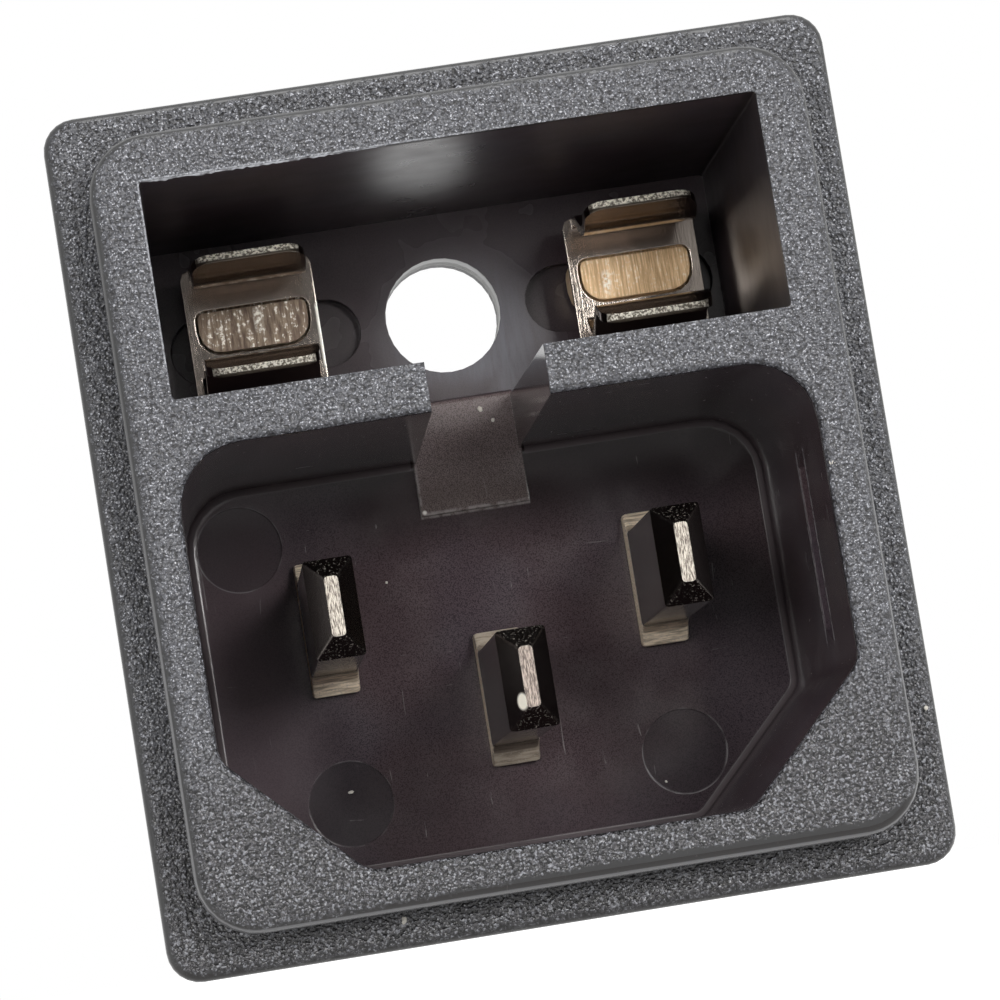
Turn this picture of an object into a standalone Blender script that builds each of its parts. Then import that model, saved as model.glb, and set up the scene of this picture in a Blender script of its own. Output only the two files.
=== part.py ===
"""Power entry module: a flat-pin appliance inlet with an open compartment for one 5 x 20 mm fuse.

Metres, +Z up. The front faces -Y. The plane y = 0 is the back of the flange, where the panel lies, and the
origin is the middle of the panel cut-out.
"""
import math

import bmesh
import bpy
from mathutils import Matrix, Vector

# Housing, front to back
FLANGE_THICKNESS = 0.0018
FLANGE_OVERHANG = 0.0019
FLANGE_CORNER_RADIUS = 0.0013
FLANGE_EDGE_RADIUS = 0.00045
PLATFORM_HEIGHT = 0.0028
PLATFORM_INSET = 0.00147
PLATFORM_CORNER_RADIUS = 0.0024
PLATFORM_EDGE_RADIUS = 0.00055
REAR_WALL = 0.0020
SIDE_WALL = 0.00123
BOTTOM_WALL = 0.0013
TOP_WALL = 0.0015
BODY_CORNER_RADIUS = 0.0010
BODY_REAR_RADIUS = 0.0005

# Inlet cavity
INLET_WIDTH = 0.0249
INLET_HEIGHT = 0.0170
INLET_DEPTH = 0.0170
INLET_CHAMFER = 0.0050
INLET_TOP_RADIUS = 0.0026
INLET_CHAMFER_RADIUS = 0.0012
INLET_LEAD_IN = 0.0003
INLET_FLOOR_RADIUS = 0.0003
CAVITY_DRAFT = 0.00018
EJECTOR_RADIUS = 0.00178
EJECTOR_DEPTH = 0.00008
EJECTOR_LOW_SPACING = 0.0142
EJECTOR_LOW_RISE = 0.0031
EJECTOR_HIGH_SIDE = 0.00235
EJECTOR_HIGH_DROP = 0.00265

# Fuse compartment, divider and slot
FUSE_LENGTH = 0.0200
FUSE_CAP_LENGTH = 0.0038
DRAWER_SIDE_ROOM = 0.002125
FUSE_OPENING_HEIGHT = 0.00857
FUSE_DEPTH = 0.0178
FUSE_CORNER_RADIUS = 0.00015
DIVIDER_THICKNESS = 0.00195
SLOT_FRONT_WIDTH = 0.00466
SLOT_REAR_WIDTH = 0.0044
PAD_PROUD = 0.0002
PAD_SIDE_LAP = 0.0001
PAD_DROP = 0.00245
PAD_RISE = 0.0004
PAD_EDGE_RADIUS = 0.0003
WALL_HOLE_DIAMETER = 0.0049
WALL_HOLE_DROP = 0.00023
RECESS_LENGTH = 0.0081
RECESS_HEIGHT = 0.0029
RECESS_DEPTH = 0.0006
RECESS_SHIFT = 0.0005
RECESS_DROP = 0.00025

# Snap-in wedges on both sides, each with the moulded window that forms its catch face
WEDGE_WIDTH = 0.0066
WEDGE_HEIGHT = 0.0011
WEDGE_LENGTH = 0.0080
WEDGE_LEAD = 0.0006
WEDGE_CREST = 0.0006
WINDOW_START = 0.0009
WINDOW_LENGTH = 0.0015
WINDOW_HEIGHT = 0.0078
WINDOW_LIFT = 0.0015

# Contact pins
PIN_SPACING = 0.0140
PIN_STAGGER = 0.0040
PIN_WIDTH = 0.0040
PIN_THICKNESS = 0.0020
PIN_LENGTH = 0.0124
EARTH_PIN_LENGTH = 0.0140
PIN_EDGE_RADIUS = 0.00015
TIP_WIDTH = 0.0024
TIP_THICKNESS = 0.00055
TIP_CHAMFER_LENGTH = 0.0012
SHOULDER_FLARE = 0.0003
SHOULDER_STEP = 0.00052
SHOULDER_LENGTH = 0.0016
SHANK_WIDTH = 0.0036
SHANK_THICKNESS = 0.0016

# Fuse clips
CLIP_SHEET = 0.0004
CLIP_WEB_WIDTH = 0.0055
CLIP_BLADE_WIDTH = 0.0047
CLIP_WEB_STANDOFF = 0.0024
CLIP_WEB_RISE = 0.00285
CLIP_JAW_REACH = 0.00585
JAW_LIP_HEIGHT = 0.0047
JAW_NECK_HEIGHT = 0.00335
JAW_BELLY_HEIGHT = 0.0050
LIP_LENGTH = 0.00185
LIP_CORNER_RADIUS = 0.0008
LEG_WIDTH = 0.0003
LOAD_LEG_WIDTH = 0.0006

# Studs that carry the clips
STUD_WIDTH = 0.0046
STUD_HEIGHT = 0.00175
STUD_TOP_RADIUS = 0.0003
STUD_BOTTOM_RADIUS = 0.0009
STUD_LIFT = 0.0001
STUD_PROUD = 0.0001
LOAD_CLIP_DROP = 0.0002
COLLAR_MARGIN = 0.0004

# Rear strips and quick-connect tabs
STRIP_THICKNESS = 0.0008
TENON_WIDTH = 0.0032
TENON_THICKNESS = 0.0012
HEAD_MARGIN = 0.0003
HEAD_THICKNESS = 0.0004
TAB_WIDTH = 0.0048
TAB_LENGTH = 0.0079
TAB_HOLE_DIAMETER = 0.0014
TAB_HOLE_DISTANCE = 0.0031
TAB_TIP_CHAMFER = 0.0010
TAB_FOOT_SHORT = 0.0018
TAB_FOOT_LONG = 0.0032
TAB_BEND_RADIUS = 0.0012
LINK_END_MARGIN = 0.0010
POCKET_DEPTH = 0.0011
POCKET_CORNER_RADIUS = 0.0003

# Gaps between pieces that meet
FIT_GAP = 0.0001
SEAT_GAP = 0.0003

# How finely round shapes are divided, and how far a cutter runs past what it cuts
CORNER_STEPS = 6
EDGE_STEPS = 4
SMALL_STEPS = 2
HOLE_SIDES = 32
OVERSHOOT = 0.0010

# Places worked out from the sizes
FRONT_Y = -(FLANGE_THICKNESS + PLATFORM_HEIGHT)
FUSE_OPENING_WIDTH = FUSE_LENGTH + 2 * DRAWER_SIDE_ROOM
BODY_WIDTH = max(INLET_WIDTH, FUSE_OPENING_WIDTH) + 2 * SIDE_WALL
BODY_HEIGHT = BOTTOM_WALL + INLET_HEIGHT + DIVIDER_THICKNESS + FUSE_OPENING_HEIGHT + TOP_WALL
BODY_HALF = BODY_WIDTH / 2
BODY_DEPTH = FRONT_Y + max(INLET_DEPTH, FUSE_DEPTH + RECESS_DEPTH) + REAR_WALL
BODY_BOTTOM_Z = -BODY_HEIGHT / 2
BODY_TOP_Z = BODY_HEIGHT / 2
INLET_BOTTOM_Z = BODY_BOTTOM_Z + BOTTOM_WALL
INLET_TOP_Z = INLET_BOTTOM_Z + INLET_HEIGHT
INLET_MIDDLE_Z = (INLET_BOTTOM_Z + INLET_TOP_Z) / 2
FLOOR_Y = FRONT_Y + INLET_DEPTH
FUSE_BOTTOM_Z = INLET_TOP_Z + DIVIDER_THICKNESS
FUSE_TOP_Z = FUSE_BOTTOM_Z + FUSE_OPENING_HEIGHT
FUSE_MIDDLE_Z = (FUSE_BOTTOM_Z + FUSE_TOP_Z) / 2
FUSE_WALL_Y = FRONT_Y + FUSE_DEPTH
PAD_FRONT_Y = FLOOR_Y - PAD_PROUD
PAD_BACK_Y = max(FLOOR_Y, FUSE_WALL_Y) + RECESS_DEPTH
CLIP_X = (FUSE_LENGTH - FUSE_CAP_LENGTH) / 2
STUD_Z = FUSE_MIDDLE_Z + STUD_LIFT
WEB_BACK_Y = FUSE_WALL_Y - CLIP_WEB_STANDOFF
WEB_FRONT_Y = WEB_BACK_Y - CLIP_SHEET
POCKET_Y = BODY_DEPTH - POCKET_DEPTH
STRIP_FRONT_Y = POCKET_Y + SEAT_GAP
STRIP_BACK_Y = STRIP_FRONT_Y + STRIP_THICKNESS
HEAD_FRONT_Y = STRIP_BACK_Y + FIT_GAP
HEAD_BACK_Y = HEAD_FRONT_Y + HEAD_THICKNESS
LINE_PIN_PLACE = Vector((-PIN_SPACING / 2, INLET_MIDDLE_Z + PIN_STAGGER / 2))
NEUTRAL_PIN_PLACE = Vector((PIN_SPACING / 2, INLET_MIDDLE_Z + PIN_STAGGER / 2))
EARTH_PIN_PLACE = Vector((0.0, INLET_MIDDLE_Z - PIN_STAGGER / 2))
LINE_STUD_PLACE = Vector((-CLIP_X, STUD_Z))
LOAD_STUD_PLACE = Vector((CLIP_X, STUD_Z - LOAD_CLIP_DROP))


# A loft runs along Y; these turn it to run along X or Z
SWAP_X_Y = Matrix(((0, 1, 0, 0), (1, 0, 0, 0), (0, 0, 1, 0), (0, 0, 0, 1)))
SWAP_Y_Z = Matrix(((1, 0, 0, 0), (0, 0, 1, 0), (0, 1, 0, 0), (0, 0, 0, 1)))


def clear_scene():
    for item in list(bpy.data.objects):
        bpy.data.objects.remove(item, do_unlink=True)


def make_material(name, colour, roughness, metallic):
    material = bpy.data.materials.new(name)
    material.use_nodes = True
    shader = material.node_tree.nodes["Principled BSDF"]
    shader.inputs["Base Color"].default_value = (*colour, 1.0)
    shader.inputs["Roughness"].default_value = roughness
    shader.inputs["Metallic"].default_value = metallic
    return material


def rectangle(width, height, middle=(0.0, 0.0)):
    """Corners of a rectangle in (x, z), anticlockwise as seen from the front."""
    x, z = middle
    return [
        Vector((x - width / 2, z - height / 2)),
        Vector((x + width / 2, z - height / 2)),
        Vector((x + width / 2, z + height / 2)),
        Vector((x - width / 2, z + height / 2)),
    ]


def cavity_corners(half_width, bottom, top, chamfer):
    """Corners of the inlet's outline: a rectangle whose two lower corners are cut off."""
    return [
        Vector((-half_width + chamfer, bottom)),
        Vector((half_width - chamfer, bottom)),
        Vector((half_width, bottom + chamfer)),
        Vector((half_width, top)),
        Vector((-half_width, top)),
        Vector((-half_width, bottom + chamfer)),
    ]


def inset(corners, distance):
    """Move every side of an anticlockwise outline inwards by a distance, or outwards if it is negative."""
    moved = []
    for index, corner in enumerate(corners):
        before = (corner - corners[index - 1]).normalized()
        after = (corners[(index + 1) % len(corners)] - corner).normalized()
        inward_before = Vector((-before.y, before.x))
        inward_after = Vector((-after.y, after.x))
        share = distance / (1 + inward_before.dot(inward_after))
        moved.append(corner + (inward_before + inward_after) * share)
    return moved


def rounded(corners, radii, steps):
    """Points of a convex anticlockwise outline, with each corner turned into an arc of its own radius."""
    points = []
    for index, corner in enumerate(corners):
        back = (corners[index - 1] - corner).normalized()
        ahead = (corners[(index + 1) % len(corners)] - corner).normalized()
        half_angle = back.angle(ahead) / 2
        radius = radii[index]
        centre = corner + (back + ahead).normalized() * (radius / math.sin(half_angle))
        start = corner + back * (radius / math.tan(half_angle)) - centre
        start_angle = math.atan2(start.y, start.x)
        turn = math.pi - 2 * half_angle
        for step in range(steps + 1):
            angle = start_angle + turn * step / steps
            points.append(centre + Vector((math.cos(angle), math.sin(angle))) * radius)
    return points


def loft(rings):
    """Closed mesh through rings of (x, z) points, each ring at its own y."""
    mesh = bmesh.new()
    loops = [[mesh.verts.new((p[0], y, p[1])) for p in points] for points, y in rings]
    for near, far in zip(loops, loops[1:]):
        for index in range(len(near)):
            following = (index + 1) % len(near)
            mesh.faces.new((near[index], near[following], far[following], far[index]))
    mesh.faces.new(loops[0])
    mesh.faces.new(list(reversed(loops[-1])))
    bmesh.ops.recalc_face_normals(mesh, faces=mesh.faces)
    return mesh


def prism(corners, radii, steps, start_y, end_y):
    points = rounded(corners, radii, steps)
    return loft([(points, start_y), (points, end_y)])


def slab(corners, radii, plain_y, round_y, edge_radius, draft=0.0):
    """Prism from plain_y to round_y whose edge at round_y is rounded; draft narrows it on the way."""
    direction = 1 if round_y > plain_y else -1
    least_radius = 0.00005
    rings = [(rounded(corners, radii, CORNER_STEPS), plain_y)]
    for step in range(EDGE_STEPS + 1):
        angle = math.pi / 2 * step / EDGE_STEPS
        sunk = edge_radius * (1 - math.cos(angle))
        y = round_y - direction * edge_radius * (1 - math.sin(angle))
        shrunk = [max(radius - sunk, least_radius) for radius in radii]
        rings.append((rounded(inset(corners, draft + sunk), shrunk, CORNER_STEPS), y))
    return loft(rings)


def disc(radius, middle, sides):
    turn = 2 * math.pi / sides
    return [middle + Vector((math.cos(turn * i), math.sin(turn * i))) * radius for i in range(sides)]


def add_object(name, mesh, material=None, smooth_angle=math.radians(35)):
    data = bpy.data.meshes.new(name)
    mesh.to_mesh(data)
    mesh.free()
    data.shade_smooth()
    data.set_sharp_from_angle(angle=smooth_angle)
    item = bpy.data.objects.new(name, data)
    bpy.context.scene.collection.objects.link(item)
    if material:
        data.materials.append(material)
    return item


def combine(target, mesh, name, operation):
    """Give the target a Boolean with a helper object, which is never part of the model itself."""
    helper = add_object(f"{target.name}_{name}", mesh)
    helper.hide_render = True
    helper.display_type = "WIRE"
    modifier = target.modifiers.new(name, "BOOLEAN")
    modifier.operation = operation
    modifier.solver = "EXACT"
    modifier.object = helper
    return helper


def cut(target, mesh, name):
    return combine(target, mesh, name, "DIFFERENCE")


def join(target, mesh, name):
    return combine(target, mesh, name, "UNION")


def tube_in_x(outline, start_x, end_x):
    """Closed mesh of a (y, z) outline run along X."""
    mesh = loft([(outline, start_x), (outline, end_x)])
    bmesh.ops.transform(mesh, matrix=SWAP_X_Y, verts=mesh.verts)
    bmesh.ops.recalc_face_normals(mesh, faces=mesh.faces)
    return mesh


def tube_in_z(outline, start_z, end_z):
    """Closed mesh of an (x, y) outline run along Z."""
    mesh = loft([(outline, start_z), (outline, end_z)])
    bmesh.ops.transform(mesh, matrix=SWAP_Y_Z, verts=mesh.verts)
    bmesh.ops.recalc_face_normals(mesh, faces=mesh.faces)
    return mesh


def inlet_cutter():
    """The inlet cavity: a rounded lead-in at the front, a little draft and a rounded floor edge."""
    corners = cavity_corners(INLET_WIDTH / 2, INLET_BOTTOM_Z, INLET_TOP_Z, INLET_CHAMFER)
    low = INLET_CHAMFER_RADIUS
    radii = [low, low, low, INLET_TOP_RADIUS, INLET_TOP_RADIUS, low]
    wide = [radius + INLET_LEAD_IN for radius in radii]
    rings = [(rounded(inset(corners, -INLET_LEAD_IN), wide, CORNER_STEPS), FRONT_Y - OVERSHOOT)]
    for step in range(EDGE_STEPS + 1):
        angle = math.pi / 2 * step / EDGE_STEPS
        grown = INLET_LEAD_IN * (1 - math.sin(angle))
        y = FRONT_Y + INLET_LEAD_IN * (1 - math.cos(angle))
        rings.append((rounded(inset(corners, -grown), [r + grown for r in radii], CORNER_STEPS), y))
    for step in range(EDGE_STEPS + 1):
        angle = math.pi / 2 * step / EDGE_STEPS
        sunk = CAVITY_DRAFT + INLET_FLOOR_RADIUS * (1 - math.cos(angle))
        y = FLOOR_Y - INLET_FLOOR_RADIUS * (1 - math.sin(angle))
        rings.append((rounded(inset(corners, sunk), [r - sunk for r in radii], CORNER_STEPS), y))
    return loft(rings)


def fuse_cutter():
    corners = rectangle(FUSE_OPENING_WIDTH, FUSE_OPENING_HEIGHT, (0.0, FUSE_MIDDLE_Z))
    radii = [FUSE_CORNER_RADIUS] * 4
    front = rounded(corners, radii, SMALL_STEPS)
    rear = rounded(inset(corners, CAVITY_DRAFT), radii, SMALL_STEPS)
    return loft([(front, FRONT_Y - OVERSHOOT), (front, FRONT_Y), (rear, FUSE_WALL_Y)])


def slot_cutter():
    """The tapering slot that runs through the divider from the front to the pad."""
    height = DIVIDER_THICKNESS + 2 * OVERSHOOT
    middle = (0.0, (INLET_TOP_Z + FUSE_BOTTOM_Z) / 2)
    front = rectangle(SLOT_FRONT_WIDTH, height, middle)
    rear = rectangle(SLOT_REAR_WIDTH, height, middle)
    # It ends inside the pad, whose front face closes it
    return loft([(front, FRONT_Y - OVERSHOOT), (front, FRONT_Y), (rear, PAD_FRONT_Y + PAD_PROUD / 2)])


def pad_mesh():
    """The block that ends the slot: a little wider, and standing out of the inlet's floor and the divider."""
    bottom = INLET_TOP_Z - PAD_DROP
    top = FUSE_BOTTOM_Z + PAD_RISE
    corners = [
        Vector((PAD_FRONT_Y, bottom)),
        Vector((PAD_BACK_Y, bottom)),
        Vector((PAD_BACK_Y, top)),
        Vector((PAD_FRONT_Y, top)),
    ]
    small = PAD_EDGE_RADIUS / 6
    outline = rounded(corners, [small, small, small, PAD_EDGE_RADIUS], EDGE_STEPS)
    half_width = SLOT_REAR_WIDTH / 2 + PAD_SIDE_LAP
    return tube_in_x(outline, -half_width, half_width)


def obround(length, height, middle):
    """A slot outline with two round ends."""
    radius = height / 2
    reach = length / 2 - radius
    points = []
    steps = 2 * CORNER_STEPS
    for side, start in ((1, -math.pi / 2), (-1, math.pi / 2)):
        for step in range(steps + 1):
            angle = start + math.pi * step / steps
            arc = Vector((side * reach + radius * math.cos(angle), radius * math.sin(angle)))
            points.append(Vector(middle) + arc)
    return points


def wedge_mesh(side):
    """Snap-in wedge on one side wall: a steep catch face towards the panel and a long ramp behind it."""
    start = WINDOW_START + WINDOW_LENGTH
    root = BODY_HALF - SIDE_WALL / 2
    outline = [
        Vector((side * root, start)),
        Vector((side * BODY_HALF, start)),
        Vector((side * (BODY_HALF + WEDGE_HEIGHT), start + WEDGE_LEAD)),
        Vector((side * (BODY_HALF + WEDGE_HEIGHT), start + WEDGE_LEAD + WEDGE_CREST)),
        Vector((side * BODY_HALF, start + WEDGE_LENGTH)),
        Vector((side * root, start + WEDGE_LENGTH)),
    ]
    middle = INLET_MIDDLE_Z + WINDOW_LIFT
    return tube_in_z(outline, middle - WEDGE_WIDTH / 2, middle + WEDGE_WIDTH / 2)


def window_mesh(side):
    """The window in the side wall right in front of a wedge: as wide as the wedge where it meets it."""
    width = SIDE_WALL + 2 * OVERSHOOT
    middle = (side * (BODY_HALF - SIDE_WALL / 2), INLET_MIDDLE_Z + WINDOW_LIFT)
    front = rectangle(width, WINDOW_HEIGHT, middle)
    rear = rectangle(width, WEDGE_WIDTH, middle)
    return loft([(front, WINDOW_START), (rear, WINDOW_START + WINDOW_LENGTH)])


def tab_foot_corners(place, turned, margin=0.0):
    """Outline of a quick-connect tab's foot on the rear face, in (x, z)."""
    width = TAB_WIDTH / 2 + margin
    low = TAB_FOOT_SHORT + margin
    high = TAB_FOOT_LONG + margin
    if turned:
        local = [(-width, -low), (width, -low), (width, high), (-width, high)]
    else:
        local = [(-low, -width), (high, -width), (high, width), (-low, width)]
    return [place + Vector(corner) for corner in local]


def link_corners(margin=0.0):
    """Outline of the strip from the line pin to the line clip's stud, in (x, z)."""
    low_half = TENON_THICKNESS / 2 + HEAD_MARGIN + LINK_END_MARGIN
    high_half = TENON_WIDTH / 2 + HEAD_MARGIN + LINK_END_MARGIN
    bottom = LINE_PIN_PLACE.y - TENON_WIDTH / 2 - LINK_END_MARGIN
    top = LINE_STUD_PLACE.y + TENON_THICKNESS / 2 + LINK_END_MARGIN
    corners = [
        Vector((LINE_PIN_PLACE.x - low_half, bottom)),
        Vector((LINE_PIN_PLACE.x + low_half, bottom)),
        Vector((LINE_STUD_PLACE.x + high_half, top)),
        Vector((LINE_STUD_PLACE.x - high_half, top)),
    ]
    return inset(corners, -margin)


def build_housing(plastic):
    flange = rectangle(BODY_WIDTH + 2 * FLANGE_OVERHANG, BODY_HEIGHT + 2 * FLANGE_OVERHANG)
    housing = add_object(
        "housing",
        slab(flange, [FLANGE_CORNER_RADIUS] * 4, 0.0, -FLANGE_THICKNESS, FLANGE_EDGE_RADIUS),
        plastic,
    )
    platform = inset(flange, PLATFORM_INSET)
    raised = slab(platform, [PLATFORM_CORNER_RADIUS] * 4, -FLANGE_THICKNESS / 2, FRONT_Y, PLATFORM_EDGE_RADIUS)
    join(housing, raised, "platform")

    # The body's lower corners run parallel to the inlet's, one wall away
    wall_shift = SIDE_WALL * math.sqrt(2)
    chamfer = INLET_CHAMFER + (BODY_HALF - INLET_WIDTH / 2) + BOTTOM_WALL - wall_shift
    body = cavity_corners(BODY_HALF, BODY_BOTTOM_Z, BODY_TOP_Z, chamfer)
    join(housing, slab(body, [BODY_CORNER_RADIUS] * 6, -FLANGE_THICKNESS / 2, BODY_DEPTH, BODY_REAR_RADIUS), "body")
    for side, label in ((-1, "left"), (1, "right")):
        join(housing, wedge_mesh(side), f"wedge_{label}")

    cut(housing, inlet_cutter(), "inlet")
    cut(housing, fuse_cutter(), "fuse_compartment")
    cut(housing, slot_cutter(), "slot")
    join(housing, pad_mesh(), "pad")
    for side, label in ((-1, "left"), (1, "right")):
        cut(housing, window_mesh(side), f"window_{label}")
        middle = Vector((side * (CLIP_X - RECESS_SHIFT), FUSE_MIDDLE_Z - RECESS_DROP))
        recess = obround(RECESS_LENGTH, RECESS_HEIGHT, middle)
        recess_cutter = loft([(recess, FUSE_WALL_Y - OVERSHOOT), (recess, FUSE_WALL_Y + RECESS_DEPTH)])
        cut(housing, recess_cutter, f"recess_{label}")
    ejectors = {
        "low_left": Vector((-EJECTOR_LOW_SPACING / 2, INLET_BOTTOM_Z + EJECTOR_LOW_RISE)),
        "low_right": Vector((EJECTOR_LOW_SPACING / 2, INLET_BOTTOM_Z + EJECTOR_LOW_RISE)),
        "high_left": Vector((EJECTOR_HIGH_SIDE - INLET_WIDTH / 2, INLET_TOP_Z - EJECTOR_HIGH_DROP)),
    }
    for label, middle in ejectors.items():
        mark = disc(EJECTOR_RADIUS, middle, HOLE_SIDES)
        cut(housing, loft([(mark, FLOOR_Y - OVERSHOOT), (mark, FLOOR_Y + EJECTOR_DEPTH)]), f"ejector_{label}")
    hole = disc(WALL_HOLE_DIAMETER / 2, Vector((0.0, FUSE_MIDDLE_Z - WALL_HOLE_DROP)), HOLE_SIDES)
    cut(housing, loft([(hole, FUSE_WALL_Y - OVERSHOOT), (hole, BODY_DEPTH + OVERSHOOT)]), "wall_hole")

    # Rear pockets for the feet of the tabs and for the link
    pockets = {
        "neutral_pocket": tab_foot_corners(NEUTRAL_PIN_PLACE, False, SEAT_GAP),
        "earth_pocket": tab_foot_corners(EARTH_PIN_PLACE, False, SEAT_GAP),
        "load_pocket": tab_foot_corners(LOAD_STUD_PLACE, True, SEAT_GAP),
        "link_pocket": link_corners(SEAT_GAP),
    }
    for name, corners in pockets.items():
        radii = [POCKET_CORNER_RADIUS] * 4
        cut(housing, prism(corners, radii, SMALL_STEPS, POCKET_Y, BODY_DEPTH + OVERSHOOT), name)

    # Holes in which the pins and the studs are pressed
    for name, place in (("line", LINE_PIN_PLACE), ("neutral", NEUTRAL_PIN_PLACE), ("earth", EARTH_PIN_PLACE)):
        corners = rectangle(SHANK_THICKNESS + 2 * FIT_GAP, SHANK_WIDTH + 2 * FIT_GAP, place)
        cut(housing, loft([(corners, FLOOR_Y - OVERSHOOT), (corners, BODY_DEPTH)]), f"{name}_pin_hole")
    for name, place in (("line", LINE_STUD_PLACE), ("load", LOAD_STUD_PLACE)):
        outline = stud_outline(place, FIT_GAP)
        cut(housing, loft([(outline, FUSE_WALL_Y - OVERSHOOT), (outline, BODY_DEPTH)]), f"{name}_stud_hole")
    return housing


def pin_section(width, thickness, place):
    radius = min(PIN_EDGE_RADIUS, thickness / 4)
    return rounded(rectangle(thickness, width, place), [radius] * 4, SMALL_STEPS)


def build_pin(name, place, length, plating):
    """A flat pin: chamfered tip, shoulder on the floor, shank in the floor and a staked tenon behind."""
    tip_y = FLOOR_Y - length
    seat_y = FLOOR_Y - FIT_GAP
    flared = PIN_WIDTH + 2 * SHOULDER_FLARE
    shouldered = flared + 2 * SHOULDER_STEP
    rings = [
        (pin_section(TIP_WIDTH, TIP_THICKNESS, place), tip_y),
        (pin_section(PIN_WIDTH, PIN_THICKNESS, place), tip_y + TIP_CHAMFER_LENGTH),
        (pin_section(PIN_WIDTH, PIN_THICKNESS, place), seat_y - SHOULDER_LENGTH),
        (pin_section(flared, PIN_THICKNESS, place), seat_y - SHOULDER_LENGTH / 2),
        (pin_section(shouldered, PIN_THICKNESS, place), seat_y - SHOULDER_LENGTH / 4),
        (pin_section(shouldered, PIN_THICKNESS, place), seat_y),
        (pin_section(SHANK_WIDTH, SHANK_THICKNESS, place), seat_y),
        (pin_section(SHANK_WIDTH, SHANK_THICKNESS, place), POCKET_Y),
    ]
    return add_object(name, loft(rings + tenon_rings(place, False)), plating)


def tenon_rings(place, turned):
    """The end of a pin or stud that passes through a strip and is staked over behind it."""
    sizes = ((0.0, POCKET_Y), (0.0, HEAD_FRONT_Y), (HEAD_MARGIN, HEAD_FRONT_Y), (HEAD_MARGIN, HEAD_BACK_Y))
    rings = []
    for margin, y in sizes:
        width = TENON_WIDTH + 2 * margin
        thickness = TENON_THICKNESS + 2 * margin
        size = (width, thickness) if turned else (thickness, width)
        rings.append((rounded(rectangle(*size, place), [PIN_EDGE_RADIUS] * 4, SMALL_STEPS), y))
    return rings


def stud_outline(place, margin=0.0):
    """Section of a stud: a flat top and a bottom with rounder corners."""
    corners = inset(rectangle(STUD_WIDTH, STUD_HEIGHT, place), -margin)
    radii = [STUD_BOTTOM_RADIUS, STUD_BOTTOM_RADIUS, STUD_TOP_RADIUS, STUD_TOP_RADIUS]
    return rounded(corners, [radius + margin for radius in radii], EDGE_STEPS)


def build_stud(name, place, brass):
    """The bar that carries a clip: its cut end fills the clip's window, a collar stands behind the web."""
    window = stud_outline(place)
    collar = stud_outline(place, COLLAR_MARGIN)
    collar_front = WEB_BACK_Y + FIT_GAP
    collar_back = FUSE_WALL_Y - FIT_GAP
    stud = add_object(
        name,
        loft([
            (window, WEB_FRONT_Y - STUD_PROUD),
            (window, collar_front),
            (collar, collar_front),
            (collar, collar_back),
            (window, collar_back),
            (window, POCKET_Y),
        ]),
        brass,
    )
    rear = tenon_rings(place, True)
    rear[0] = (rear[0][0], POCKET_Y - SEAT_GAP)
    join(stud, loft(rear), "tenon")
    return stud


def smooth_path(points, steps):
    """Points of a smooth curve through a few points in (y, z)."""
    path = []
    ends = [points[0] * 2 - points[1]] + list(points) + [points[-1] * 2 - points[-2]]
    for a, b, c, d in zip(ends, ends[1:], ends[2:], ends[3:]):
        for step in range(steps):
            t = step / steps
            path.append(
                (b * 2 + (c - a) * t + (a * 2 - b * 5 + c * 4 - d) * t**2 + (b * 3 - a - c * 3 + d) * t**3) / 2
            )
    path.append(Vector(points[-1]))
    return path


def bent_blade(path, half_width, corner_radius, thickness):
    """A strip of sheet along a path in (y, z), whose far end has rounded corners."""
    direction = (path[-1] - path[-2]).normalized()
    end = path[-1]
    stations = [(point, half_width) for point in path[:-1] if (end - point).length > corner_radius * 1.05]
    for step in range(CORNER_STEPS + 1):
        angle = math.pi / 2 * step / CORNER_STEPS
        point = end - direction * corner_radius * (1 - math.sin(angle))
        stations.append((point, half_width - corner_radius * (1 - math.cos(angle))))
    mesh = bmesh.new()
    sections = []
    for index, (point, half) in enumerate(stations):
        ahead = stations[min(index + 1, len(stations) - 1)][0]
        behind = stations[max(index - 1, 0)][0]
        along = (ahead - behind).normalized()
        across = Vector((-along.y, along.x)) * thickness / 2
        low = point - across
        high = point + across
        corners = ((-half, low), (half, low), (half, high), (-half, high))
        sections.append([mesh.verts.new((x, p.x, p.y)) for x, p in corners])
    for near, far in zip(sections, sections[1:]):
        for side in range(4):
            following = (side + 1) % 4
            mesh.faces.new((near[side], near[following], far[following], far[side]))
    mesh.faces.new(sections[0])
    mesh.faces.new(list(reversed(sections[-1])))
    bmesh.ops.recalc_face_normals(mesh, faces=mesh.faces)
    return mesh


def shifted(mesh, x):
    bmesh.ops.translate(mesh, vec=Vector((x, 0.0, 0.0)), verts=mesh.verts)
    return mesh


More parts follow.
